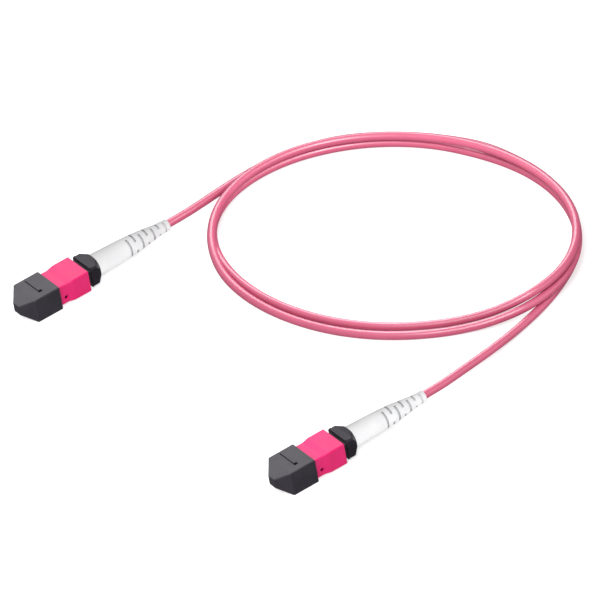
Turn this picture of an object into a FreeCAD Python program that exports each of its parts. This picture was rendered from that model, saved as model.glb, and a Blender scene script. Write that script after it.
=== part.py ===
import FreeCAD, Part
import math
import os
import Sketcher

# Multi-fibre patch cable: a 3 mm round cable laid in an oval coil, with the same
# push-on rectangular connector on both ends, each under its dust cap.
# Frame: +Z up, floor at z = 0, origin on the floor midway between the two
# connectors. Each connector's axis runs along +X from its nose to its cable.
# A connector's own x is counted from the rear edge of its dust cap.

V = FreeCAD.Vector
doc = FreeCAD.newDocument("PatchCable")
sheet = doc.addObject("Spreadsheet::Sheet", "Dimensions")

TABLE = [
    # where the two connectors lie
    ("axis_height", 4.65), ("conn_a_x", -20.35), ("conn_a_y", 71.35),
    ("conn_b_x", -15.05), ("conn_b_y", -71.35),
    # dust cap
    ("cap_width", 13.0), ("cap_height", 9.3), ("cap_length", 10.2), ("cap_edge", 0.4),
    ("nose_length", 4.1), ("nose_width", 3.5), ("nose_height", 3.6), ("nose_edge", 0.55), ("bend_edge", 0.38),
    ("cap_bore_width", 10.1), ("cap_bore_height", 5.9), ("cap_bore_depth", 9.2),
    ("cap_tip_width", 7.2), ("cap_tip_height", 3.3), ("cap_tip_depth", 10.3),
    ("cap_key_width", 3.6), ("cap_key_rise", 1.6), ("cap_key_mid", 2.65),
    ("catch_x", -6.25), ("catch_gap", 0.45), ("catch_span", 9), ("catch_deep", 0.55), ("catch_mid", 0.8),
    ("hook_length", 1.5), ("hook_gap", 1.2), ("hook_deep", 1.0),
    # coupling sleeve
    ("sleeve_start", 0.12), ("sleeve_end", 12.3),
    ("sleeve_front_width", 11.5), ("sleeve_front_height", 7.6), ("sleeve_front_length", 3.0),
    ("sleeve_blend", 2.6), ("sleeve_width", 12.3), ("sleeve_height", 8.3),
    ("sleeve_edge", 0.5), ("sleeve_rear_edge", 0.3), ("sleeve_heel", 1),
    ("sleeve_bore_width", 10.2), ("sleeve_bore_height", 6.0),
    ("seat_x", 3.6), ("seat_length", 0.9), ("seat_depth", 1.25), ("seat_mid", 4.68),
    ("seat_height", 1.2), ("pin_hole_x", 2.35), ("pin_hole_drop", 1.3), ("pin_hole_radius", 0.7),
    # plug housing
    ("plug_front", -8.8), ("plug_end", 13.7), ("plug_width", 9.6), ("plug_height", 5.4),
    ("plug_edge", 0.35), ("mouth_width", 6.6), ("mouth_height", 2.7),
    ("chamber_x", -4.4), ("chamber_width", 7.2), ("chamber_height", 4.4),
    ("key_width", 3.0), ("key_rise", 0.7), ("key_mid", 2.85), ("key_x", -8.0), ("key_length", 7.6),
    ("latch_x", -2.5), ("latch_length", 2.2), ("latch_depth", 1.1),
    ("groove_x", 3.5), ("groove_length", 6.1), ("groove_depth", 1.1), ("groove_mid", 4.45),
    ("groove_height", 1.5), ("window_x", 11.1), ("window_length", 1.4), ("window_height", 2.4),
    # ferrule group
    ("ferrule_front", -9.4), ("ferrule_length", 7.8), ("ferrule_width", 6.4), ("ferrule_height", 2.5),
    ("shoulder_x", -4.35), ("shoulder_length", 2.75), ("shoulder_width", 7.0), ("shoulder_height", 3.0),
    ("guide_radius", 0.35), ("guide_spacing", 4.6), ("fibre_hole_radius", 0.066), ("fibre_pitch", 0.25),
    ("fibre_hole_depth", 4.0), ("ribbon_pocket_x", -5.6), ("ribbon_pocket_width", 3.5),
    ("ribbon_pocket_height", 1.1), ("resin_x", -5.05), ("resin_length", 0.9), ("resin_width", 3.0),
    ("resin_depth", 0.8),
    ("spacer_x", -1.55), ("spacer_length", 2.0), ("spacer_width", 7.0), ("spacer_height", 3.0),
    ("spacer_window_width", 3.6), ("spacer_window_height", 1.3), ("spacer_hole_radius", 0.4),
    ("grommet_x", -5.3), ("grommet_length", 5.5), ("grommet_width", 3.4), ("grommet_height", 1.0),
    ("grommet_slot_width", 3.16), ("grommet_slot_height", 0.42),
    ("ribbon_x", -5.5), ("ribbon_length", 28.3), ("ribbon_width", 3.1), ("ribbon_height", 0.34),
    ("fibre_radius", 0.0625), ("fibre_overlap", 0.1),
    # springs
    ("spring_x", 0.78), ("spring_length", 5.75), ("spring_pitch", 1.15), ("spring_radius", 1.8),
    ("spring_wire", 0.2), ("small_spring_x", 4.75), ("small_spring_length", 4.6),
    ("small_spring_pitch", 0.575), ("small_spring_radius", 0.43), ("small_spring_wire", 0.1),
    ("small_spring_y", 4.5),
    # rear body
    ("guide_x", 6.9), ("guide_width", 6.9), ("guide_height", 4.1),
    ("flange_x", 13.7), ("flange_side", 2.7), ("flange_length", 4.5), ("flange_width", 10.8),
    ("flange_rear_width", 8.8), ("flange_rear_corner", 4.2), ("flange_height", 7.6), ("flange_edge", 0.35), ("flange_corner", 0.9),
    ("lip_length", 0.65), ("lip_width", 9.4), ("lip_height", 8.15), ("snap_x", 10.6), ("snap_length", 1.0),
    ("snap_width", 8.5), ("snap_height", 2.0),
    ("post_radius", 2.1), ("post_length", 5.0), ("post_bore", 1.65),
    # crimp and boot
    ("yarn_x", 18.7), ("yarn_length", 4.2), ("yarn_inner", 2.12), ("yarn_outer", 2.4),
    ("crimp_x", 18.5), ("crimp_step", 23.7), ("crimp_shoulder", 24.2), ("crimp_end", 28.3),
    ("crimp_outer", 2.75), ("crimp_inner", 2.42), ("crimp_inner_end", 23.4),
    ("crimp_neck_outer", 1.95), ("crimp_neck_inner", 1.52),
    ("boot_x", 18.2), ("boot_r_a", 4.15), ("boot_x_b", 30.3), ("boot_r_b", 3.75), ("boot_x_c", 35.6),
    ("boot_r_c", 3.42), ("boot_x_d", 40.7), ("boot_r_d", 2.82), ("boot_x_e", 45.4), ("boot_r_e", 2.2),
    ("boot_end", 49.4), ("boot_r_end", 2.03), ("boot_bore", 1.55), ("boot_seat", 2.85),
    ("boot_seat_end", 24.4), ("boot_neck", 2.05), ("boot_neck_end", 28.7),
    ("slot_x", 31.85), ("slot_pitch", 2.57), ("slot_gap", 0.8), ("slot_arc", 129.0), ("slot_turn", 17.0),
    # cable
    ("cable_radius", 1.5), ("cable_x", 23.5), ("coil_width", 3.3), ("coil_height", 6.15),
    ("coil_edge", 1.2),
]
for row, (alias, value) in enumerate(TABLE, start=1):
    sheet.set("A%d" % row, alias)
    sheet.set("B%d" % row, "%g" % value)
    sheet.setAlias("B%d" % row, alias)
doc.recompute()


def size(alias):
    return float(sheet.get(alias))


def ex(text):
    """An expression over the sheet, written with bare names: 'plug_end - plug_front'."""
    out = []
    for word in text.replace("(", " ( ").replace(")", " ) ").split():
        out.append("Dimensions." + word if word[0].isalpha() else word)
    return " ".join(out)


def bind(obj, prop, text):
    obj.setExpression(prop, ex(text))


PIECES = []


def keep(obj, label):
    obj.Label = label
    PIECES.append(obj)
    return obj


def place(obj, tag):
    bind(obj, "Placement.Base.x", "conn_%s_x" % tag)
    bind(obj, "Placement.Base.y", "conn_%s_y" % tag)
    bind(obj, "Placement.Base.z", "axis_height")


def new_body(name):
    return doc.addObject("PartDesign::Body", name)


def plane(body, role):
    return [f for f in body.Origin.OriginFeatures if f.Role == role][0]


def sketch_on(body, name, role, off=None, shift_x=None, shift_y=None):
    sk = body.newObject("Sketcher::SketchObject", name)
    sk.AttachmentSupport = [(plane(body, role), "")]
    sk.MapMode = "FlatFace"
    if off:
        bind(sk, "AttachmentOffset.Base.z", off)
    if shift_x:
        bind(sk, "AttachmentOffset.Base.x", shift_x)
    if shift_y:
        bind(sk, "AttachmentOffset.Base.y", shift_y)
    return sk


def named(sk, con, name, text):
    """A driving constraint of a sketch, bound to the sheet."""
    index = sk.addConstraint(con)
    sk.renameConstraint(index, name)
    bind(sk, "Constraints." + name, text)


def value(text):
    """The number that a sheet expression gives now."""
    words = text.replace("(", " ( ").replace(")", " ) ").split()
    total, sign, stack = 0.0, 1.0, []
    current = None
    for word in words:
        if word == "+":
            total, sign, current = total + sign * current, 1.0, None
        elif word == "-":
            if current is not None:
                total, current = total + sign * current, None
            sign = -1.0
        elif word == "*":
            stack.append("*")
        elif word == "/":
            stack.append("/")
        else:
            number = size(word) if word[0].isalpha() else float(word)
            if stack:
                current = current * number if stack.pop() == "*" else current / number
            else:
                current = number
    return total + sign * current


def opposite(text):
    """The same expression with its sign turned."""
    return text[4:] if text.startswith("0 - ") else "0 - " + text


def rect(body, name, role, width, height, off=None, shift_x=None, shift_y=None):
    """A rectangle centred on the sketch's origin."""
    sk = sketch_on(body, name, role, off, shift_x, shift_y)
    w, h = value(width) / 2, value(height) / 2
    p = [V(-w, -h, 0), V(w, -h, 0), V(w, h, 0), V(-w, h, 0)]
    for i in range(4):
        sk.addGeometry(Part.LineSegment(p[i], p[(i + 1) % 4]), False)
    for i in range(4):
        sk.addConstraint(Sketcher.Constraint("Coincident", i, 2, (i + 1) % 4, 1))
    for i in (0, 2):
        sk.addConstraint(Sketcher.Constraint("Horizontal", i))
    for i in (1, 3):
        sk.addConstraint(Sketcher.Constraint("Vertical", i))
    sk.addConstraint(Sketcher.Constraint("Symmetric", 0, 1, 2, 1, -1, 1))
    named(sk, Sketcher.Constraint("DistanceX", 0, 1, 0, 2, 2 * w), "wide", width)
    named(sk, Sketcher.Constraint("DistanceY", 1, 1, 1, 2, 2 * h), "high", height)
    return sk


def rounded(body, name, role, width, height, radius, off=None):
    """A rectangle with rounded corners, centred on the sketch's origin."""
    sk = sketch_on(body, name, role, off)
    w, h, r = value(width) / 2, value(height) / 2, value(radius)
    lines = [
        (V(-w + r, -h, 0), V(w - r, -h, 0)), (V(w, -h + r, 0), V(w, h - r, 0)),
        (V(w - r, h, 0), V(-w + r, h, 0)), (V(-w, h - r, 0), V(-w, -h + r, 0)),
    ]
    for a, b in lines:
        sk.addGeometry(Part.LineSegment(a, b), False)
    corners = [(w - r, -h + r, -90), (w - r, h - r, 0), (-w + r, h - r, 90), (-w + r, -h + r, 180)]
    for x, y, start in corners:
        circle = Part.Circle(V(x, y, 0), V(0, 0, 1), r)
        sk.addGeometry(Part.ArcOfCircle(circle, math.radians(start), math.radians(start + 90)), False)
    for i in range(4):
        sk.addConstraint(Sketcher.Constraint("Tangent", i, 2, 4 + i, 1))
        sk.addConstraint(Sketcher.Constraint("Tangent", 4 + i, 2, (i + 1) % 4, 1))
    for i in (0, 2):
        sk.addConstraint(Sketcher.Constraint("Horizontal", i))
    for i in (1, 3):
        sk.addConstraint(Sketcher.Constraint("Vertical", i))
    for i in (5, 6, 7):
        sk.addConstraint(Sketcher.Constraint("Equal", 4, i))
    sk.addConstraint(Sketcher.Constraint("Symmetric", 4, 3, 6, 3, -1, 1))
    named(sk, Sketcher.Constraint("Radius", 4, r), "corner", radius)
    named(sk, Sketcher.Constraint("DistanceX", 3, 1, 1, 1, 2 * w), "wide", width)
    named(sk, Sketcher.Constraint("DistanceY", 0, 1, 2, 1, 2 * h), "high", height)
    return sk


def rounds(body, name, role, places, radius, off=None):
    """Circles of one radius; places are (x, y) pairs of sheet expressions or numbers."""
    sk = sketch_on(body, name, role, off)
    for i, (x, y) in enumerate(places):
        px = value(x) if isinstance(x, str) else x
        py = value(y) if isinstance(y, str) else y
        sk.addGeometry(Part.Circle(V(px, py, 0), V(0, 0, 1), value(radius)), False)
        if i == 0:
            named(sk, Sketcher.Constraint("Radius", 0, value(radius)), "bore", radius)
        else:
            sk.addConstraint(Sketcher.Constraint("Equal", 0, i))
        for axis, kind, v in ((0, "DistanceX", px), (1, "DistanceY", py)):
            text = (x, y)[axis]
            if abs(v) < 1e-9:
                sk.addConstraint(Sketcher.Constraint("PointOnObject", i, 3, -2 if axis == 0 else -1))
            elif isinstance(text, str) and v > 0:
                named(sk, Sketcher.Constraint(kind, -1, 1, i, 3, v), "at_%d_%d" % (i, axis), text)
            elif isinstance(text, str):
                named(sk, Sketcher.Constraint(kind, i, 3, -1, 1, -v), "at_%d_%d" % (i, axis), opposite(text))
            else:
                sk.addConstraint(Sketcher.Constraint(kind, -1, 1, i, 3, v))
    return sk


def outline(body, name, role, points, off=None):
    """A closed outline through (x, y) pairs of sheet expressions, each vertex held by its own pair."""
    sk = sketch_on(body, name, role, off)
    xy = [(value(x), value(y)) for x, y in points]
    n = len(xy)
    for i in range(n):
        a, b = xy[i], xy[(i + 1) % n]
        sk.addGeometry(Part.LineSegment(V(a[0], a[1], 0), V(b[0], b[1], 0)), False)
    for i in range(n):
        sk.addConstraint(Sketcher.Constraint("Coincident", i, 2, (i + 1) % n, 1))
    for i, (x, y) in enumerate(points):
        for axis, kind, text in ((0, "DistanceX", x), (1, "DistanceY", y)):
            v = xy[i][axis]
            if abs(v) < 1e-9:
                sk.addConstraint(Sketcher.Constraint("PointOnObject", i, 1, -2 if axis == 0 else -1))
            elif v > 0:
                named(sk, Sketcher.Constraint(kind, -1, 1, i, 1, v), "p%d_%d" % (i, axis), text)
            else:
                named(sk, Sketcher.Constraint(kind, i, 1, -1, 1, -v), "p%d_%d" % (i, axis), opposite(text))
    return sk


def rounded_corner(body, name, x, drop, radius):
    """On the XZ plane: what a rounded lower rear corner leaves away, for a corner at (x, -drop)."""
    sk = sketch_on(body, name, "XZ_Plane")
    r = value(radius)
    cx, cz = value(x) - r, -(value(drop) - r)
    sk.addGeometry(Part.ArcOfCircle(Part.Circle(V(cx, cz, 0), V(0, 0, 1), r), -math.pi / 2, 0), False)
    p = [V(cx + r, cz, 0), V(cx + r + 1, cz, 0), V(cx + r + 1, cz - r - 1, 0), V(cx, cz - r - 1, 0), V(cx, cz - r, 0)]
    for i in range(4):
        sk.addGeometry(Part.LineSegment(p[i], p[i + 1]), False)
    sk.addConstraint(Sketcher.Constraint("Coincident", 0, 2, 1, 1))
    for i in (1, 2, 3):
        sk.addConstraint(Sketcher.Constraint("Coincident", i, 2, i + 1, 1))
    sk.addConstraint(Sketcher.Constraint("Coincident", 4, 2, 0, 1))
    for i, way in ((1, "Horizontal"), (2, "Vertical"), (3, "Horizontal"), (4, "Vertical")):
        sk.addConstraint(Sketcher.Constraint(way, i))
    sk.addConstraint(Sketcher.Constraint("Horizontal", 0, 2, 0, 3))
    sk.addConstraint(Sketcher.Constraint("Vertical", 0, 1, 0, 3))
    named(sk, Sketcher.Constraint("Radius", 0, r), "round", radius)
    named(sk, Sketcher.Constraint("DistanceX", -1, 1, 0, 3, cx), "along", x + " - " + radius)
    named(sk, Sketcher.Constraint("DistanceY", 0, 3, -1, 1, -cz), "below", drop + " - " + radius)
    sk.addConstraint(Sketcher.Constraint("DistanceX", 1, 1, 1, 2, 1.0))
    sk.addConstraint(Sketcher.Constraint("DistanceY", 4, 1, 4, 2, 1.0))
    return sk


def pad(body, name, sk, length, back=False, both=False):
    f = body.newObject("PartDesign::Pad", name)
    f.Profile = sk
    bind(f, "Length", length)
    f.Reversed = back
    f.Midplane = both
    doc.recompute()
    return f


def cut(body, name, sk, length=None, back=False, both=False):
    """A pocket; stops if it takes nothing away."""
    before = body.Tip.Shape.Volume
    f = body.newObject("PartDesign::Pocket", name)
    f.Profile = sk
    if length:
        bind(f, "Length", length)
    else:
        f.Type = "ThroughAll"
    f.Reversed = back
    f.Midplane = both
    doc.recompute()
    if not f.Shape.Volume < before - 1e-6:
        raise RuntimeError(name + " cuts nothing")
    return f


def loft(body, name, first, second):
    f = body.newObject("PartDesign::AdditiveLoft", name)
    f.Profile = first
    f.Sections = [second]
    f.Ruled = True
    doc.recompute()
    return f


def soften(body, name, radius, test):
    """A fillet on the edges of the tip feature that pass the test."""
    base = body.Tip
    picked = ["Edge%d" % (i + 1) for i, e in enumerate(base.Shape.Edges) if test(e)]
    if not picked:
        raise RuntimeError(name + " finds no edge")
    f = body.newObject("PartDesign::Fillet", name)
    f.Base = (base, picked)
    bind(f, "Radius", radius)
    doc.recompute()
    if f.Shape.isNull() or not f.Shape.isValid() or "Invalid" in f.State:
        raise RuntimeError("%s fails on %d edges" % (name, len(picked)))
    return f


def at_x(x, tol=1e-3):
    return lambda e: all(abs(v.X - x) < tol for v in e.Vertexes)


def turned(body, name, points):
    """A ring or tube turned about the connector's axis from (x, r) pairs."""
    sk = outline(body, name + "_profile", "XY_Plane", points)
    f = body.newObject("PartDesign::Revolution", name)
    f.Profile = sk
    f.ReferenceAxis = (sk, ["H_Axis"])
    f.Angle = 360.0
    doc.recompute()
    return f


# ---------------------------------------------------------------- connector pieces

def dust_cap(tag):
    # moulded cap: a straight box, a blunt pyramid nose, a stepped hollow for the
    # plug and its ferrule, and a thumb groove with a hooked end on top
    b = new_body("cap_" + tag)
    back = rounded(b, "cap_box_s_" + tag, "YZ_Plane", "cap_width", "cap_height", "cap_edge", off="0 - cap_length")
    pad(b, "cap_box_" + tag, back, "cap_length")
    tip = rounded(b, "cap_tip_s_" + tag, "YZ_Plane", "nose_width", "nose_height", "nose_edge", off="0 - cap_length - nose_length")
    root = rounded(b, "cap_root_s_" + tag, "YZ_Plane", "cap_width", "cap_height", "cap_edge", off="0 - cap_length")
    loft(b, "cap_nose_" + tag, root, tip)
    soften(b, "cap_round_" + tag, "nose_edge", at_x(-size("cap_length") - size("nose_length")))
    soften(b, "cap_bend_" + tag, "bend_edge", at_x(-size("cap_length")))
    soften(b, "cap_rim_" + tag, "sleeve_rear_edge", at_x(0.0))
    cut(b, "cap_hollow_" + tag, rect(b, "cap_hollow_s_" + tag, "YZ_Plane", "cap_bore_width", "cap_bore_height"), "cap_bore_depth")
    cut(b, "cap_end_" + tag, rect(b, "cap_end_s_" + tag, "YZ_Plane", "cap_tip_width", "cap_tip_height"), "cap_tip_depth")
    cut(b, "cap_keyway_" + tag, rect(b, "cap_keyway_s_" + tag, "YZ_Plane", "cap_key_width", "cap_key_rise", shift_y="cap_key_mid"), "cap_bore_depth")
    cut(b, "cap_groove_" + tag, rect(b, "cap_groove_s_" + tag, "XY_Plane", "catch_gap", "catch_span", off="cap_height / 2", shift_x="catch_x", shift_y="catch_mid"), "catch_deep")
    cut(b, "cap_hook_" + tag, rect(b, "cap_hook_s_" + tag, "XY_Plane", "hook_length", "hook_gap", off="cap_height / 2", shift_x="catch_x + hook_length / 2 - catch_gap / 2", shift_y="catch_mid - catch_span / 2 + hook_gap / 2"), "hook_deep")
    place(b, tag)
    return keep(b, "dust_cap_" + tag)


def coupling_sleeve(tag):
    # outer shell that is pulled back: a slightly narrower front collar, blended
    # into the grip, hollow right through, with two spring seats inside
    b = new_body("sleeve_" + tag)
    s1 = rounded(b, "sleeve_front_s_" + tag, "YZ_Plane", "sleeve_front_width", "sleeve_front_height", "sleeve_edge", off="sleeve_start")
    pad(b, "sleeve_front_" + tag, s1, "sleeve_front_length")
    s2 = rounded(b, "sleeve_step_s_" + tag, "YZ_Plane", "sleeve_front_width", "sleeve_front_height", "sleeve_edge", off="sleeve_start + sleeve_front_length")
    s3 = rounded(b, "sleeve_grip_s_" + tag, "YZ_Plane", "sleeve_width", "sleeve_height", "sleeve_edge", off="sleeve_start + sleeve_front_length + sleeve_blend")
    loft(b, "sleeve_blend_" + tag, s2, s3)
    s4 = rounded(b, "sleeve_rear_s_" + tag, "YZ_Plane", "sleeve_width", "sleeve_height", "sleeve_edge", off="sleeve_start + sleeve_front_length + sleeve_blend")
    pad(b, "sleeve_rear_" + tag, s4, "sleeve_end - sleeve_start - sleeve_front_length - sleeve_blend")
    end = size("sleeve_end")
    soften(b, "sleeve_rim_" + tag, "sleeve_rear_edge", at_x(end))
    cut(b, "sleeve_bore_" + tag, rect(b, "sleeve_bore_s_" + tag, "YZ_Plane", "sleeve_bore_width", "sleeve_bore_height", off="sleeve_start"), None, back=True)
    for side, sign in (("l", ""), ("r", "0 - ")):
        seat = rect(b, "sleeve_seat_s_%s_%s" % (side, tag), "YZ_Plane", "seat_depth", "seat_height", off="seat_x", shift_x=sign + "seat_mid")
        pad(b, "sleeve_seat_%s_%s" % (side, tag), seat, "seat_length")
    cut(b, "sleeve_heel_" + tag, rounded_corner(b, "sleeve_heel_s_" + tag, "sleeve_end", "sleeve_height / 2", "sleeve_heel"), None, both=True)
    hole = rounds(b, "sleeve_hole_s_" + tag, "XZ_Plane", [("pin_hole_x", "0 - pin_hole_drop")], "pin_hole_radius")
    cut(b, "sleeve_hole_" + tag, hole, None, both=True)
    place(b, tag)
    return keep(b, "coupling_sleeve_" + tag)


def plug_housing(tag):
    # inner housing: the nose that enters the adapter, with its key, latch
    # recesses, spring grooves and snap windows; hollow for the ferrule and spring
    b = new_body("plug_" + tag)
    s = rounded(b, "plug_s_" + tag, "YZ_Plane", "plug_width", "plug_height", "plug_edge", off="plug_front")
    pad(b, "plug_block_" + tag, s, "plug_end - plug_front")
    soften(b, "plug_lead_" + tag, "plug_edge", at_x(size("plug_front")))
    key = rect(b, "plug_key_s_" + tag, "YZ_Plane", "key_width", "key_rise", off="key_x", shift_y="key_mid")
    pad(b, "plug_key_" + tag, key, "key_length")
    cut(b, "plug_mouth_" + tag, rect(b, "plug_mouth_s_" + tag, "YZ_Plane", "mouth_width", "mouth_height", off="plug_front"), None, back=True)
    cut(b, "plug_chamber_" + tag, rect(b, "plug_chamber_s_" + tag, "YZ_Plane", "chamber_width", "chamber_height", off="chamber_x"), None, back=True)
    for side, sign in (("l", ""), ("r", "0 - ")):
        cut(b, "plug_latch_%s_%s" % (side, tag), rect(b, "plug_latch_s_%s_%s" % (side, tag), "XY_Plane", "latch_length", "latch_depth", shift_x="latch_x", shift_y=sign + "plug_width / 2"), None, both=True)
        cut(b, "plug_groove_%s_%s" % (side, tag), rect(b, "plug_groove_s_%s_%s" % (side, tag), "YZ_Plane", "groove_depth", "groove_height", off="groove_x", shift_x=sign + "groove_mid"), "groove_length", back=True)
    cut(b, "plug_window_" + tag, rect(b, "plug_window_s_" + tag, "XZ_Plane", "window_length", "window_height", shift_x="window_x"), None, both=True)
    place(b, tag)
    return keep(b, "plug_housing_" + tag)


def mt_ferrule(tag):
    # rectangular ferrule: rear shoulder, two guide-pin holes, a row of fibre
    # holes, the ribbon pocket from behind and the resin window on top
    b = new_body("ferrule_" + tag)
    pad(b, "ferrule_block_" + tag, rect(b, "ferrule_s_" + tag, "YZ_Plane", "ferrule_width", "ferrule_height", off="ferrule_front"), "ferrule_length")
    pad(b, "ferrule_shoulder_" + tag, rect(b, "ferrule_shoulder_s_" + tag, "YZ_Plane", "shoulder_width", "shoulder_height", off="shoulder_x"), "shoulder_length")
    cut(b, "ferrule_pocket_" + tag, rect(b, "ferrule_pocket_s_" + tag, "YZ_Plane", "ribbon_pocket_width", "ribbon_pocket_height", off="ribbon_pocket_x"), None, back=True)
    guides = rounds(b, "ferrule_guides_s_" + tag, "YZ_Plane", [("guide_spacing / 2", 0.0), ("0 - guide_spacing / 2", 0.0)], "guide_radius", off="ferrule_front")
    cut(b, "ferrule_guides_" + tag, guides, None, back=True)
    row = [((i - 5.5) * size("fibre_pitch"), 0.0) for i in range(12)]
    holes = rounds(b, "ferrule_fibres_s_" + tag, "YZ_Plane", row, "fibre_hole_radius", off="ferrule_front")
    cut(b, "ferrule_fibres_" + tag, holes, "fibre_hole_depth", back=True)
    cut(b, "ferrule_resin_" + tag, rect(b, "ferrule_resin_s_" + tag, "XY_Plane", "resin_length", "resin_width", off="ferrule_height / 2", shift_x="resin_x"), "resin_depth")
    place(b, tag)
    return keep(b, "mt_ferrule_" + tag)


def pin_spacer(tag):
    b = new_body("spacer_" + tag)
    pad(b, "spacer_block_" + tag, rect(b, "spacer_s_" + tag, "YZ_Plane", "spacer_width", "spacer_height", off="spacer_x"), "spacer_length")
    cut(b, "spacer_window_" + tag, rect(b, "spacer_window_s_" + tag, "YZ_Plane", "spacer_window_width", "spacer_window_height", off="spacer_x"), None, back=True)
    cut(b, "spacer_holes_" + tag, rounds(b, "spacer_holes_s_" + tag, "YZ_Plane", [("guide_spacing / 2", 0.0), ("0 - guide_spacing / 2", 0.0)], "spacer_hole_radius", off="spacer_x"), None, back=True)
    place(b, tag)
    return keep(b, "pin_spacer_" + tag)


def ferrule_boot(tag):
    b = new_body("grommet_" + tag)
    pad(b, "grommet_block_" + tag, rect(b, "grommet_s_" + tag, "YZ_Plane", "grommet_width", "grommet_height", off="grommet_x"), "grommet_length")
    cut(b, "grommet_slot_" + tag, rect(b, "grommet_slot_s_" + tag, "YZ_Plane", "grommet_slot_width", "grommet_slot_height", off="grommet_x"), None, back=True)
    place(b, tag)
    return keep(b, "ferrule_boot_" + tag)


def fibre_ribbon(tag):
    # flat ribbon, fanned into bare fibres that end at the ferrule's polished face
    b = new_body("ribbon_" + tag)
    pad(b, "ribbon_flat_" + tag, rect(b, "ribbon_s_" + tag, "YZ_Plane", "ribbon_width", "ribbon_height", off="ribbon_x"), "ribbon_length")
    row = [((i - 5.5) * size("fibre_pitch"), 0.0) for i in range(12)]
    pad(b, "ribbon_fibres_" + tag, rounds(b, "ribbon_fibres_s_" + tag, "YZ_Plane", row, "fibre_radius", off="ferrule_front"), "ribbon_x - ferrule_front + fibre_overlap")
    place(b, tag)
    return keep(b, "fibre_ribbon_" + tag)


def coil_spring(name, radius, wire, pitch, length):
    helix = doc.addObject("Part::Helix", name + "_helix")
    bind(helix, "Radius", radius)
    bind(helix, "Pitch", pitch)
    bind(helix, "Height", length)
    helix.SegmentLength = 1
    section = doc.addObject("Part::Circle", name + "_wire")
    bind(section, "Radius", wire)
    bind(section, "Placement.Base.x", radius)
    lean = math.degrees(math.atan2(size(pitch), 2 * math.pi * size(radius)))
    section.Placement.Rotation = FreeCAD.Rotation(V(1, 0, 0), 90 + lean)
    doc.recompute()
    spring = doc.addObject("Part::Sweep", name)
    spring.Sections = [section]
    spring.Spine = (helix, [])
    spring.Solid = True
    spring.Frenet = True
    doc.recompute()
    return spring


def ferrule_spring(tag):
    s = coil_spring("main_spring_" + tag, "spring_radius", "spring_wire", "spring_pitch", "spring_length")
    s.Placement = FreeCAD.Placement(V(0, 0, 0), FreeCAD.Rotation(V(0, 1, 0), 90))
    bind(s, "Placement.Base.x", "conn_%s_x + spring_x" % tag)
    bind(s, "Placement.Base.y", "conn_%s_y" % tag)
    bind(s, "Placement.Base.z", "axis_height")
    return keep(s, "ferrule_spring_" + tag)


def coupling_springs(tag):
    pair = []
    for side, sign in (("l", "+"), ("r", "-")):
        s = coil_spring("side_spring_%s_%s" % (side, tag), "small_spring_radius", "small_spring_wire", "small_spring_pitch", "small_spring_length")
        s.Placement = FreeCAD.Placement(V(0, 0, 0), FreeCAD.Rotation(V(0, 1, 0), 90))
        bind(s, "Placement.Base.x", "conn_%s_x + small_spring_x" % tag)
        bind(s, "Placement.Base.y", "conn_%s_y %s small_spring_y" % (tag, sign))
        bind(s, "Placement.Base.z", "axis_height")
        pair.append(s)
    group = doc.addObject("Part::Compound", "side_springs_" + tag)
    group.Links = pair
    return keep(group, "coupling_springs_" + tag)


def rear_body(tag):
    # spring push: guide block in the housing with its snaps, the flange behind the
    # sleeve that runs from a block to a round rim, with a raised lip, and the crimp post
    b = new_body("rear_" + tag)
    block = rounded(b, "rear_block_s_" + tag, "YZ_Plane", "flange_width", "flange_height", "flange_corner", off="flange_x")
    pad(b, "rear_flange_" + tag, block, "flange_side")
    root = rounded(b, "rear_root_s_" + tag, "YZ_Plane", "flange_width", "flange_height", "flange_corner", off="flange_x + flange_side")
    rim = rounded(b, "rear_rim_s_" + tag, "YZ_Plane", "flange_rear_width", "flange_rear_width", "flange_rear_corner", off="flange_x + flange_length")
    loft(b, "rear_taper_" + tag, root, rim)
    soften(b, "rear_edge_" + tag, "flange_edge", at_x(size("flange_x") + size("flange_length")))
    pad(b, "rear_lip_" + tag, rect(b, "rear_lip_s_" + tag, "YZ_Plane", "lip_width", "lip_height", off="flange_x"), "lip_length")
    pad(b, "rear_guide_" + tag, rect(b, "rear_guide_s_" + tag, "YZ_Plane", "guide_width", "guide_height", off="guide_x"), "flange_x - guide_x + lip_length")
    pad(b, "rear_snap_" + tag, rect(b, "rear_snap_s_" + tag, "YZ_Plane", "snap_width", "snap_height", off="snap_x"), "snap_length")
    pad(b, "rear_post_" + tag, rounds(b, "rear_post_s_" + tag, "YZ_Plane", [(0.0, 0.0)], "post_radius", off="flange_x + flange_length - lip_length"), "post_length + lip_length")
    cut(b, "rear_bore_" + tag, rounds(b, "rear_bore_s_" + tag, "YZ_Plane", [(0.0, 0.0)], "post_bore", off="guide_x"), None, back=True)
    place(b, tag)
    return keep(b, "rear_body_" + tag)


def aramid_yarn(tag):
    b = new_body("yarn_" + tag)
    turned(b, "yarn_sleeve_" + tag, [("yarn_x", "yarn_inner"), ("yarn_x + yarn_length", "yarn_inner"), ("yarn_x + yarn_length", "yarn_outer"), ("yarn_x", "yarn_outer")])
    place(b, tag)
    return keep(b, "aramid_yarn_" + tag)


def crimp_ring(tag):
    b = new_body("crimp_" + tag)
    turned(b, "crimp_tube_" + tag, [
        ("crimp_x", "crimp_inner"), ("crimp_inner_end", "crimp_inner"), ("crimp_inner_end", "crimp_neck_inner"),
        ("crimp_end", "crimp_neck_inner"), ("crimp_end", "crimp_neck_outer"), ("crimp_shoulder", "crimp_neck_outer"),
        ("crimp_step", "crimp_outer"), ("crimp_x", "crimp_outer")])
    place(b, tag)
    return keep(b, "crimp_ring_" + tag)


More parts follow.
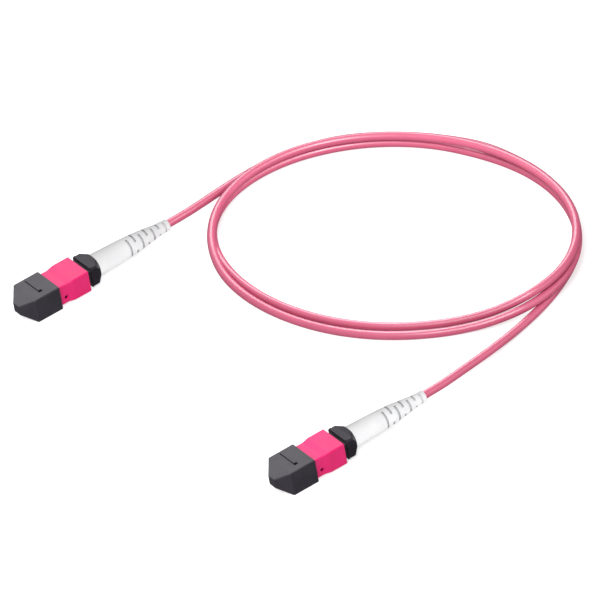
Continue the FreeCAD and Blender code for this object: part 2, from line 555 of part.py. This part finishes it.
def strain_relief_boot(tag):
    # tapered boot over the crimp ring; staggered pairs of flex slots, each level a
    # quarter turn from the last, cut into the outside and not through to the bore
    b = new_body("boot_" + tag)
    turned(b, "boot_taper_" + tag, [
        ("boot_x", "boot_seat"), ("boot_seat_end", "boot_seat"), ("boot_seat_end", "boot_neck"),
        ("boot_neck_end", "boot_neck"), ("boot_neck_end", "boot_bore"), ("boot_end", "boot_bore"),
        ("boot_end", "boot_r_end"), ("boot_x_e", "boot_r_e"), ("boot_x_d", "boot_r_d"),
        ("boot_x_c", "boot_r_c"), ("boot_x_b", "boot_r_b"), ("boot_x", "boot_r_a")])
    end = size("boot_end")
    soften(b, "boot_rim_" + tag, "flange_edge", lambda e: at_x(end)(e) and e.Length > 2 * math.pi * (size("boot_r_end") - 0.1))
    tools = []
    outside = [("boot_x_b", "boot_r_b"), ("boot_x_c", "boot_r_c"), ("boot_x_d", "boot_r_d"), ("boot_x_e", "boot_r_e"), ("boot_end", "boot_r_end")]
    stations = [(size(x), size(r)) for x, r in outside]
    for level in range(7):
        x = size("slot_x") + level * size("slot_pitch")
        r = stations[-1][1]
        for (xa, ra), (xb, rb) in zip(stations, stations[1:]):
            if xa <= x <= xb:
                r = ra + (rb - ra) * (x - xa) / (xb - xa)
        floor = max(r - 0.7, size("boot_bore") + 0.2)
        core = doc.addObject("Part::Cylinder", "slot_core_%d_%s" % (level, tag))
        core.Radius = floor
        bind(core, "Height", "slot_gap * 3")
        core.Placement = FreeCAD.Placement(V(x - size("slot_gap") * 1.5, 0, 0), FreeCAD.Rotation(V(0, 1, 0), 90))
        wedges = []
        for side in (0, 1):
            w = doc.addObject("Part::Cylinder", "slot_arc_%d_%d_%s" % (level, side, tag))
            w.Radius = r + 0.6
            bind(w, "Height", "slot_gap")
            bind(w, "Angle", "slot_arc")
            # the arc's middle is turned up from the -Y side; odd levels a quarter turn on
            middle = -90 + 180 * side - size("slot_turn") + 90 * (level % 2)
            spin = FreeCAD.Rotation(V(0, 1, 0), 90).multiply(FreeCAD.Rotation(V(0, 0, 1), middle - size("slot_arc") / 2))
            w.Placement = FreeCAD.Placement(V(x - size("slot_gap") / 2, 0, 0), spin)
            wedges.append(w)
        both = doc.addObject("Part::MultiFuse", "slot_pair_%d_%s" % (level, tag))
        both.Shapes = wedges
        ring = doc.addObject("Part::Cut", "slot_%d_%s" % (level, tag))
        ring.Base = both
        ring.Tool = core
        tools.append(ring)
    doc.recompute()
    group = doc.addObject("Part::Compound", "slots_" + tag)
    group.Links = tools
    boot = doc.addObject("Part::Cut", "slotted_boot_" + tag)
    boot.Base = b
    boot.Tool = group
    doc.recompute()
    if not boot.Shape.Volume < b.Shape.Volume - 1.0:
        raise RuntimeError("the boot's slots cut nothing")
    place(boot, tag)
    return keep(boot, "strain_relief_boot_" + tag)


for tag in ("a", "b"):
    dust_cap(tag)
    coupling_sleeve(tag)
    plug_housing(tag)
    mt_ferrule(tag)
    pin_spacer(tag)
    ferrule_boot(tag)
    fibre_ribbon(tag)
    ferrule_spring(tag)
    coupling_springs(tag)
    rear_body(tag)
    aramid_yarn(tag)
    crimp_ring(tag)
    strain_relief_boot(tag)

# ---------------------------------------------------------------- cable

# points of the route, in the row's frame: each tail leaves its boot, comes down to
# the floor and joins the coil; the coil is the oval that two and a half turns fill
TAIL_A = [
    (33.65, 71.35, 4.65), (47.4, 73.86, 3.56), (60.67, 76.7, 2.26), (74.26, 77.67, 1.52), (87.8, 75.52, 1.5),
    (100.33, 70.02, 1.5), (110, 56.6, 1.5)]
TAIL_B = [
    (38.95, -71.35, 4.65), (52.68, -68.59, 3.69), (65.94, -65.72, 2.59), (79.11, -62.34, 1.68), (92.17, -58.45, 1.5),
    (104.2, -55, 1.56)]
OVAL = [
    (124.31, -38.38), (132.35, -20.77), (134.29, 0.79), (129.94, 23.78), (119.95, 45.67), (104.71, 62.34),
    (86.45, 72.49), (67.53, 75.19), (50.23, 70.08), (36.59, 57.73), (28.8, 40.57), (27.39, 19.96),
    (32.03, -2.53), (42.64, -23.29), (58.14, -39.51), (75.63, -51.03), (92.24, -57.86), (109.27, -53.24)]


def corner(p, q, r):
    """Tangent points, middle and radius of the arc at q between the runs p-q and q-r."""
    a, b = q - p, r - q
    run = min(a.Length, b.Length)
    turn = a.getAngle(b)
    back = 0.45 * run
    radius = back / math.tan(turn / 2)
    ua, ub = V(a).normalize(), V(b).normalize()
    start, end = q - ua * back, q + ub * back
    inward = V(ub - ua).normalize()
    centre = q + inward * math.hypot(radius, back)
    return start, centre - inward * radius, end, radius, centre


def tube(name, label, points, radius):
    pts = [V(*p) for p in points]
    edges, here, length = [], pts[0], 0.0
    radii = []
    for p, q, r in zip(pts, pts[1:], pts[2:]):
        start, mid, end, bend, _ = corner(p, q, r)
        edges.append(Part.LineSegment(here, start).toShape())
        edges.append(Part.Arc(start, mid, end).toShape())
        radii.append(bend)
        here = end
    edges.append(Part.LineSegment(here, pts[-1]).toShape())
    path = Part.Wire(edges)
    disc = Part.Face(Part.Wire([Part.Circle(pts[0], pts[1] - pts[0], radius).toShape()]))
    solid = path.makePipe(disc)
    solid = solid if solid.ShapeType == "Solid" else Part.Solid(solid.Shells[0])
    wanted = math.pi * radius ** 2 * path.Length
    print(label, "length %.1f" % path.Length, "radii", ["%.0f" % r for r in radii], "volume / section x length %.4f" % (solid.Volume / wanted))
    if abs(solid.Volume / wanted - 1) > 0.01:
        raise RuntimeError(label + " has the wrong volume")
    f = doc.addObject("Part::Feature", name)
    f.Shape = solid
    f.Placement = FreeCAD.Placement()
    return keep(f, label)


def ring_wire(points, height):
    """The closed oval: an arc at each point, straight between them."""
    pts = [V(x, y, height) for x, y in points]
    n = len(pts)
    arcs = [corner(pts[i - 1], pts[i], pts[(i + 1) % n]) for i in range(n)]
    edges = []
    for i in range(n):
        start, mid, end, _, _ = arcs[i]
        edges.append(Part.Arc(start, mid, end).toShape())
        edges.append(Part.LineSegment(end, arcs[(i + 1) % n][0]).toShape())
    return Part.Wire(edges), [arc[3] for arc in arcs]


cable_r = size("cable_radius")
for tag, route in (("a", TAIL_A), ("b", TAIL_B)):
    first = (size("conn_%s_x" % tag) + size("cable_x"), size("conn_%s_y" % tag), size("axis_height"))
    tube("tail_" + tag, "cable_tail_" + tag, [first] + route, cable_r)

# the coil's section is a rounded upright rectangle, swept round the oval
path, radii = ring_wire(OVAL, size("coil_height") / 2)
wide, high, edge = size("coil_width") / 2, size("coil_height") / 2, size("coil_edge")
here = path.Edges[0].Vertexes[0].Point
along = path.Edges[0].tangentAt(path.Edges[0].FirstParameter)
if (path.Edges[0].valueAt(path.Edges[0].FirstParameter) - here).Length > 1e-6:
    here = path.Edges[0].valueAt(path.Edges[0].FirstParameter)
side, up = V(-along.y, along.x, 0), V(0, 0, 1)


def spot(u, w):
    return here + side * u + up * w


bits = []
for su, sw in ((1, 1), (-1, 1), (-1, -1), (1, -1)):
    cu, cw = su * (wide - edge), sw * (high - edge)
    slant = edge * math.sqrt(0.5)
    first, last = spot(su * wide, cw), spot(cu, sw * high)
    if su * sw < 0:
        first, last = last, first
    bits.append((first, spot(cu + su * slant, cw + sw * slant), last))
edges = []
for i, (first, mid, last) in enumerate(bits):
    edges.append(Part.Arc(first, mid, last).toShape())
    edges.append(Part.LineSegment(last, bits[(i + 1) % 4][0]).toShape())
section = Part.Face(Part.Wire(edges))
ring = path.makePipe(section)
ring = ring if ring.ShapeType == "Solid" else Part.Solid(ring.Shells[0])
print("coil length of one turn %.1f" % path.Length, "radii", ["%.0f" % r for r in radii],
      "volume / section x length %.4f" % (ring.Volume / (section.Area * path.Length)))
f = doc.addObject("Part::Feature", "coil")
f.Shape = ring
f.Placement = FreeCAD.Placement()
keep(f, "cable_coil")

# ---------------------------------------------------------------- checks and files

doc.recompute()
for o in doc.Objects:
    if "Invalid" in o.State or "Error" in o.State:
        raise RuntimeError("%s is %s" % (o.Name, o.State))
os.makedirs("parts", exist_ok=True)
for o in PIECES:
    shape = o.Shape
    if shape.isNull() or not shape.isValid() or not shape.Solids:
        raise RuntimeError(o.Label + " is not a valid solid")
    box = shape.BoundBox
    print("%-24s solids %d volume %9.3f  x %.2f..%.2f y %.2f..%.2f z %.2f..%.2f" % (
        o.Label, len(shape.Solids), shape.Volume, box.XMin, box.XMax, box.YMin, box.YMax, box.ZMin, box.ZMax))
for o in PIECES:
    o.Shape.exportStep("parts/%s.step" % o.Label)
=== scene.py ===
import bpy
import math
from mathutils import Matrix, Vector


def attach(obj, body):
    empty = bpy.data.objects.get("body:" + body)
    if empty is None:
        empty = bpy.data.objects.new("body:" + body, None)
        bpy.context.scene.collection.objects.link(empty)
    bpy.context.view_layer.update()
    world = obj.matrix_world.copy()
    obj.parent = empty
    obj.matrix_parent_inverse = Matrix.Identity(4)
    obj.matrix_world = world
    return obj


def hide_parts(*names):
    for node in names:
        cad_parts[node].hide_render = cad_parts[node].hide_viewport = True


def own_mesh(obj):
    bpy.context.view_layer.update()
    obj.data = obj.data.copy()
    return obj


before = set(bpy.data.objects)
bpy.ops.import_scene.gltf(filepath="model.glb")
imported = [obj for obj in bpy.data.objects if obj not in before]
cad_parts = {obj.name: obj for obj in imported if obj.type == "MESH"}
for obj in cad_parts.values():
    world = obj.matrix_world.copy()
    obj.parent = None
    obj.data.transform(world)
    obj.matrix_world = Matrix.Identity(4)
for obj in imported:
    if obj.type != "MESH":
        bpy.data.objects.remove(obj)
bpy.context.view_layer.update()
scene = bpy.context.scene

# ------------------------------------------------------------------ materials


def lin(hex_colour):
    """An sRGB colour as linear RGBA."""
    out = []
    for i in (1, 3, 5):
        c = int(hex_colour[i:i + 2], 16) / 255
        out.append(c / 12.92 if c <= 0.04045 else ((c + 0.055) / 1.055) ** 2.4)
    return tuple(out) + (1.0,)


class Nodes:
    """A new material with its Principled shader, and short ways to add nodes."""

    def __init__(self, name):
        self.mat = bpy.data.materials.new(name)
        self.mat.use_nodes = True
        self.tree = self.mat.node_tree
        self.shader = self.tree.nodes["Principled BSDF"]
        self.place = self.tree.nodes.new("ShaderNodeTexCoord").outputs["Object"]

    def node(self, kind, **values):
        n = self.tree.nodes.new(kind)
        for key, v in values.items():
            if hasattr(n, key):
                setattr(n, key, v)
            else:
                n.inputs[key].default_value = v
        return n

    def link(self, a, b):
        self.tree.links.new(a, b)

    def mapped(self, scale, rotation=(0, 0, 0)):
        m = self.tree.nodes.new("ShaderNodeMapping")
        m.inputs["Scale"].default_value = scale
        m.inputs["Rotation"].default_value = rotation
        self.link(self.place, m.inputs["Vector"])
        return m.outputs["Vector"]

    def noise(self, scale, detail=2.0, rough=0.5, stretch=None):
        n = self.tree.nodes.new("ShaderNodeTexNoise")
        n.inputs["Scale"].default_value = scale
        n.inputs["Detail"].default_value = detail
        n.inputs["Roughness"].default_value = rough
        self.link(self.mapped(stretch) if stretch else self.place, n.inputs["Vector"])
        return n.outputs["Fac"]

    def ramp(self, fac, stops):
        r = self.tree.nodes.new("ShaderNodeValToRGB")
        while len(r.color_ramp.elements) < len(stops):
            r.color_ramp.elements.new(0.5)
        for e, (pos, col) in zip(r.color_ramp.elements, stops):
            e.position, e.color = pos, col
        self.link(fac, r.inputs["Fac"])
        return r.outputs["Color"]

    def spread(self, fac, low, high):
        m = self.tree.nodes.new("ShaderNodeMapRange")
        m.inputs["To Min"].default_value = low
        m.inputs["To Max"].default_value = high
        self.link(fac, m.inputs["Value"])
        return m.outputs["Result"]

    def bump(self, height, distance, strength=1.0, under=None):
        b = self.tree.nodes.new("ShaderNodeBump")
        b.inputs["Distance"].default_value = distance
        b.inputs["Strength"].default_value = strength
        self.link(height, b.inputs["Height"])
        if under:
            self.link(under, b.inputs["Normal"])
        return b.outputs["Normal"]


def plastic(name, dark, light, rough, grain=2600.0, depth=4e-6, coarse=180.0, specular=0.5, coat=0.0):
    """Moulded plastic: a faint cloudy colour, a fine spark-eroded grain and uneven gloss."""
    m = Nodes(name)
    s = m.shader
    cloud = m.noise(coarse, 3.0, 0.55)
    m.link(m.ramp(cloud, [(0.3, lin(dark)), (0.7, lin(light))]), s.inputs["Base Color"])
    m.link(m.spread(m.noise(coarse * 2.3, 2.0), rough - 0.05, rough + 0.05), s.inputs["Roughness"])
    s.inputs["Specular IOR Level"].default_value = specular
    s.inputs["Coat Weight"].default_value = coat
    m.link(m.bump(m.noise(grain, 2.0, 0.6), depth, 0.6), s.inputs["Normal"])
    return m.mat


def metal(name, dark, light, rough, stretch):
    """Drawn or turned metal with fine marks along one way."""
    m = Nodes(name)
    s = m.shader
    marks = m.noise(900.0, 3.0, 0.6, stretch)
    m.link(m.ramp(marks, [(0.3, lin(dark)), (0.7, lin(light))]), s.inputs["Base Color"])
    s.inputs["Metallic"].default_value = 1.0
    m.link(m.spread(marks, rough - 0.06, rough + 0.08), s.inputs["Roughness"])
    m.link(m.bump(marks, 4e-6, 0.5), s.inputs["Normal"])
    return m.mat


def yarn_material(name):
    m = Nodes(name)
    s = m.shader
    strands = m.noise(2200.0, 3.0, 0.6, (0.12, 1.0, 1.0))
    m.link(m.ramp(strands, [(0.3, lin("#A8862C")), (0.7, lin("#E6C765"))]), s.inputs["Base Color"])
    s.inputs["Roughness"].default_value = 0.6
    s.inputs["Sheen Weight"].default_value = 0.4
    m.link(m.bump(strands, 4e-5, 0.8), s.inputs["Normal"])
    return m.mat


def ribbon_material(name):
    """Coated ribbon: fine lines along it where the fibres lie side by side."""
    m = Nodes(name)
    s = m.shader
    lines = m.noise(3000.0, 1.0, 0.5, (0.02, 1.0, 1.0))
    m.link(m.ramp(lines, [(0.35, lin("#B9C6CC")), (0.65, lin("#E8EEF0"))]), s.inputs["Base Color"])
    s.inputs["Roughness"].default_value = 0.3
    m.link(m.bump(lines, 2e-5, 0.6), s.inputs["Normal"])
    return m.mat


def jacket_material(name):
    """Extruded cable jacket: smooth semi-gloss, with faint drawn streaks and cloudy colour."""
    m = Nodes(name)
    s = m.shader
    cloud = m.noise(60.0, 3.0, 0.5)
    m.link(m.ramp(cloud, [(0.3, lin("#A94561")), (0.7, lin("#B14B68"))]), s.inputs["Base Color"])
    m.link(m.spread(m.noise(240.0, 2.0), 0.30, 0.36), s.inputs["Roughness"])
    s.inputs["Specular IOR Level"].default_value = 0.85
    s.inputs["Subsurface Weight"].default_value = 0.0
    m.link(m.bump(m.noise(1400.0, 2.0, 0.6), 4e-6, 0.5), s.inputs["Normal"])
    return m.mat


def boot_material(name):
    """Soft white elastomer: faint clouds, a fine matt grain, and painted shade that darkens the colour in the flex
    slots.
    """
    m = Nodes(name)
    s = m.shader
    cloud = m.ramp(m.noise(150.0, 3.0, 0.55), [(0.3, lin("#C8C8C9")), (0.7, lin("#CFCFD0"))])
    # painted shade: where the AO node finds the flex slots closed in, the base colour is multiplied darker, down to
    # #DADADC
    hollow = m.tree.nodes.new("ShaderNodeAmbientOcclusion")
    hollow.only_local = True
    hollow.samples = 8
    hollow.inputs["Distance"].default_value = 0.0016
    painted_slot_shade = m.ramp(hollow.outputs["AO"], [(0.45, lin("#DADADC")), (0.85, (1, 1, 1, 1))])
    mix = m.tree.nodes.new("ShaderNodeMix")
    mix.data_type, mix.blend_type = "RGBA", "MULTIPLY"
    mix.inputs["Factor"].default_value = 1.0
    m.link(cloud, mix.inputs["A"])
    m.link(painted_slot_shade, mix.inputs["B"])
    m.link(mix.outputs["Result"], s.inputs["Base Color"])
    m.link(m.spread(m.noise(340.0, 2.0), 0.55, 0.65), s.inputs["Roughness"])
    s.inputs["Specular IOR Level"].default_value = 0.2
    m.link(m.bump(m.noise(3400.0, 2.0, 0.6), 4e-5, 0.6), s.inputs["Normal"])
    return m.mat


LOOK = {
    "dust_cap": plastic("cap_charcoal", "#242129", "#2C2931", 0.41, grain=4200.0, depth=5e-5, specular=0.5),
    "coupling_sleeve": plastic("sleeve_magenta", "#C50059", "#CB045F", 0.37, grain=3400.0, depth=2.4e-5, specular=0.5),
    "plug_housing": plastic("housing_black", "#1D1D1F", "#29292C", 0.42, grain=4200.0, depth=4e-5),
    "mt_ferrule": plastic("ferrule_dark", "#232629", "#32363A", 0.30, coarse=600.0),
    "pin_spacer": plastic("spacer_natural", "#CFC8B6", "#E0DACB", 0.45),
    "ferrule_boot": plastic("grommet_black", "#161617", "#232324", 0.70, specular=0.3),
    "rear_body": plastic("rear_black", "#1B181F", "#221F26", 0.26, grain=3400.0, depth=2e-5, specular=0.22),
    "strain_relief_boot": boot_material("boot_white"),
    "ferrule_spring": metal("spring_steel", "#9A9A96", "#D0D0CC", 0.28, (1.0, 1.0, 0.1)),
    "coupling_springs": None,
    "crimp_ring": metal("crimp_metal", "#A4A29C", "#D2D0CA", 0.34, (1.0, 0.1, 0.1)),
    "aramid_yarn": yarn_material("aramid_yellow"),
    "fibre_ribbon": ribbon_material("ribbon_clear"),
}
LOOK["coupling_springs"] = LOOK["ferrule_spring"]
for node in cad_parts:
    o = bpy.data.objects[node]
    kind = node[:-2]
    if kind in LOOK:
        o.data.materials.clear()
        o.data.materials.append(LOOK[kind])

# ------------------------------------------------------------------ springs

# each spring is copied into an object of its own on the cable body, and the part it came from is hidden
for node, joint in (("coupling_springs_a", "coupling_a_slide"), ("coupling_springs_b", "coupling_b_slide"),
                    ("ferrule_spring_a", "ferrule_a_float"), ("ferrule_spring_b", "ferrule_b_float")):
    coils = bpy.data.objects.new(node + "_coils", bpy.data.objects[node].data.copy())
    scene.collection.objects.link(coils)
    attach(coils, "cable")
    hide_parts(node)
    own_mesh(coils)

# ------------------------------------------------------------------ cable

# control points of the route, in millimetres: out of boot b, down to the floor and under
# the turns, a flat spiral of two turns from inside to outside, lifted where it crosses
# over itself at the right, half a turn behind them, and up into boot a
ROUTE = [
    (8.45, -71.35, 4.65), (38.95, -71.35, 4.65), (52.68, -68.59, 3.69), (65.94, -65.72, 2.59), (79.11, -62.34, 1.68),
    (92.17, -58.45, 1.5), (104.71, -53.08, 1.56), (116.21, -45.68, 1.63), (125.55, -35.65, 1.5), (131.52, -23.31, 1.52),
    (134.44, -9.96, 1.56), (134.65, 3.7, 1.58), (132.24, 17.14, 1.5), (127.72, 30.02, 1.5), (121.7, 42.26, 1.6),
    (113.58, 53.24, 1.59), (103.61, 62.58, 1.55), (91.92, 69.67, 1.56), (78.91, 73.94, 1.66), (65.2, 74.57, 1.68),
    (51.94, 70.97, 1.65), (40.84, 62.78, 1.59), (33.82, 50.96, 1.51), (30.23, 37.75, 1.55), (29.36, 24.12, 1.51),
    (30.98, 10.57, 1.5), (34.7, -2.56, 1.58), (40.45, -14.95, 1.67), (48.36, -26.07, 1.56), (58.09, -35.65, 1.5),
    (68.86, -44, 1.97), (80.17, -51.32, 3.96), (92.49, -56.6, 7.63), (106.2, -54.14, 8.16), (117.48, -46.24, 7.8),
    (125.82, -35.36, 7.76), (130.84, -22.61, 7.8), (132.69, -9.07, 7.91), (132.17, 4.56, 7.73), (129.99, 18.01, 7.05),
    (126, 31.02, 6.12), (120.04, 43.28, 5.29), (112.01, 54.32, 4.81), (101.91, 63.53, 4.66), (90, 70.27, 4.72),
    (76.8, 73.95, 4.8), (63.08, 73.57, 4.73), (50.16, 68.87, 4.6), (39.55, 60.18, 4.87), (31.55, 49.07, 4.35),
    (26.79, 36.29, 2.96), (25.8, 22.66, 2.1), (27.38, 9.12, 1.62), (30.91, -4.07, 1.5), (36.39, -16.56, 1.5),
    (43.8, -28.03, 1.58), (53.02, -38.1, 1.67), (63.95, -46.27, 1.51), (75.6, -53.29, 2.53), (88.46, -57.84, 4.35),
    (102.19, -55.96, 4.74), (114.25, -49.38, 4.63), (123.41, -39.16, 4.62), (129.86, -27.11, 4.65), (133.8, -14.02, 4.73),
    (135, -0.41, 4.77), (133.57, 13.16, 4.72), (131.37, 26.59, 3.86), (126.93, 39.4, 2.18), (119.97, 51.16, 1.61),
    (110.96, 61.41, 1.5), (100.33, 70.02, 1.5), (87.8, 75.52, 1.5), (74.26, 77.67, 1.52), (60.67, 76.7, 2.26),
    (47.4, 73.86, 3.56), (33.65, 71.35, 4.65), (3.15, 71.35, 4.65),
]
CABLE_D = 0.003

curve = bpy.data.curves.new("cable", "CURVE")
curve.dimensions = "3D"
spline = curve.splines.new("NURBS")
spline.points.add(len(ROUTE) - 1)
for p, (x, y, z) in zip(spline.points, ROUTE):
    p.co = (x / 1000, y / 1000, z / 1000, 1.0)
spline.order_u = 3
spline.use_endpoint_u = True
spline.resolution_u = 10
curve.bevel_depth = CABLE_D / 2
curve.bevel_resolution = 8
curve.use_fill_caps = True
curve.materials.append(jacket_material("jacket_magenta"))
cable = bpy.data.objects.new("cable", curve)
scene.collection.objects.link(cable)
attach(cable, "cable")
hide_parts("cable_tail_a", "cable_coil", "cable_tail_b")

# ------------------------------------------------------------------ floor, light, camera

floor_mesh = bpy.data.meshes.new("floor")
floor_mesh.from_pydata([(-3, -3, 0), (3, -3, 0), (3, 3, 0), (-3, 3, 0)], [], [(0, 1, 2, 3)])
floor = bpy.data.objects.new("floor", floor_mesh)
scene.collection.objects.link(floor)
fm = Nodes("floor_white")
fm.link(fm.ramp(fm.noise(6.0, 2.0), [(0.3, (0.44, 0.44, 0.44, 1)), (0.7, (0.46, 0.46, 0.46, 1))]), fm.shader.inputs["Base Color"])
fm.shader.inputs["Roughness"].default_value = 0.9
fm.shader.inputs["Specular IOR Level"].default_value = 0.1
fm.shader.inputs["Emission Color"].default_value = (1, 1, 1, 1)
fm.shader.inputs["Emission Strength"].default_value = 0.62
floor_mesh.materials.append(fm.mat)
# dark flags in front of the table: the floor doesn't show as a reflection in the sides
floor.visible_glossy = False

# long lens, the picture rolled a little anticlockwise
LENS, SENSOR = 1400.0, 36.0
PX_PER_M = 2952.0
elevation, azimuth, roll = math.radians(36.91), math.radians(-29.16), math.radians(10.91)
aim = Vector((0.03902, 0.00844, 0.0))
ahead = Vector((-math.sin(azimuth), math.cos(azimuth), 0.0))
right = Vector((math.cos(azimuth), math.sin(azimuth), 0.0))
look = (ahead * math.cos(elevation) - Vector((0, 0, 1)) * math.sin(elevation)).normalized()
up = (ahead * math.sin(elevation) + Vector((0, 0, 1)) * math.cos(elevation)).normalized()
cam_right = right * math.cos(roll) - up * math.sin(roll)
cam_up = right * math.sin(roll) + up * math.cos(roll)
distance = 600.0 * LENS / SENSOR / PX_PER_M
# the room: bright overhead and a little to the left, dim near the floor, so that the
# faces turned to the front stay deep in colour
world = bpy.data.worlds.new("studio")
scene.world = world
world.use_nodes = True
tree = world.node_tree
way = tree.nodes.new("ShaderNodeTexCoord").outputs["Generated"]
dot = tree.nodes.new("ShaderNodeVectorMath")
dot.operation = "DOT_PRODUCT"
dot.inputs[1].default_value = (Vector((0, 0, 1)) - right * 0.3 - ahead * 0.1).normalized()
tree.links.new(way, dot.inputs[0])
fall = tree.nodes.new("ShaderNodeMapRange")
fall.inputs["From Min"].default_value = -0.4
fall.inputs["From Max"].default_value = 1.0
fall.inputs["To Min"].default_value = 0.12
fall.inputs["To Max"].default_value = 1.0
tree.links.new(dot.outputs["Value"], fall.inputs["Value"])
tree.nodes["Background"].inputs["Color"].default_value = (1, 1, 1, 1)
tree.links.new(fall.outputs["Result"], tree.nodes["Background"].inputs["Strength"])


def area_light(name, at, towards, power, width, height):
    data = bpy.data.lights.new(name, "AREA")
    data.shape = "RECTANGLE"
    data.size, data.size_y = width, height
    data.energy = power
    o = bpy.data.objects.new(name, data)
    o.location = at
    o.rotation_euler = (Vector(towards) - Vector(at)).to_track_quat("-Z", "Y").to_euler()
    scene.collection.objects.link(o)
    return o


def only(light, objects, state="INCLUDE"):
    """Lets a light fall on these objects alone, or on all but these."""
    group = bpy.data.collections.new(light.name + " reach")
    for o in objects:
        group.objects.link(o)
    for item in group.collection_objects:
        item.light_linking.link_state = state
    light.light_linking.receiver_collection = group


# a softbox from the front left, two cards that give the tops and the noses their sheen,
# a low card for the white boots, and for the cable its own softbox, a small lamp inside
# the ring, a strip behind it and a fill card on the right
middle = Vector((0.055, 0.005, 0.0))
boots = [bpy.data.objects["strain_relief_boot_a"], bpy.data.objects["strain_relief_boot_b"]]
at = middle - right * 0.2 - ahead * 0.5 + Vector((0, 0, 0.75))
softbox = area_light("softbox", at, middle, 9.0, 0.5, 0.5)
back_card = area_light("back card", middle + ahead * 0.62 + Vector((0, 0, 0.46)), middle, 2.4, 0.9, 0.6)
left_card = area_light("left card", middle - right * 0.64 + ahead * 0.28 + Vector((0, 0, 0.39)), middle, 2.2, 0.7, 0.6)
low_card = area_light("low card", middle - ahead * 1.5 + Vector((0, 0, 0.95)), middle, 26.0, 1.2, 0.8)
cable_box = area_light("cable softbox", at + right * 0.25, middle, 6.6, 0.4, 0.4)
ring = Vector((0.080, 0.010, 0.0))
ring_lamp = area_light("ring lamp", ring + Vector((0, 0, 0.045)), ring, 0.04, 0.05, 0.05)
back_strip = area_light("back strip", ring + ahead * 0.62 + Vector((0, 0, 0.46)), ring, 2.8, 0.45, 0.3)
fill_card = area_light("fill card", ring - ahead * 0.35 + right * 0.6 + Vector((0, 0, 0.25)), ring, 1.5, 0.9, 0.5)
only(softbox, boots + [cable], "EXCLUDE")
only(back_card, boots + [cable], "EXCLUDE")
sleeves = [bpy.data.objects["coupling_sleeve_a"], bpy.data.objects["coupling_sleeve_b"]]
only(left_card, boots + sleeves + [cable], "EXCLUDE")
only(low_card, boots)
only(cable_box, [cable])
only(ring_lamp, [cable])
only(back_strip, [cable])
only(fill_card, [cable])

data = bpy.data.cameras.new("camera")
data.lens, data.sensor_width, data.sensor_fit = LENS, SENSOR, "AUTO"
data.clip_end = 40.0
camera = bpy.data.objects.new("camera", data)
scene.collection.objects.link(camera)
m = Matrix((cam_right, cam_up, -look)).transposed().to_4x4()
m.translation = aim - look * distance
camera.matrix_world = m
scene.camera = camera

scene.view_settings.view_transform = "Standard"
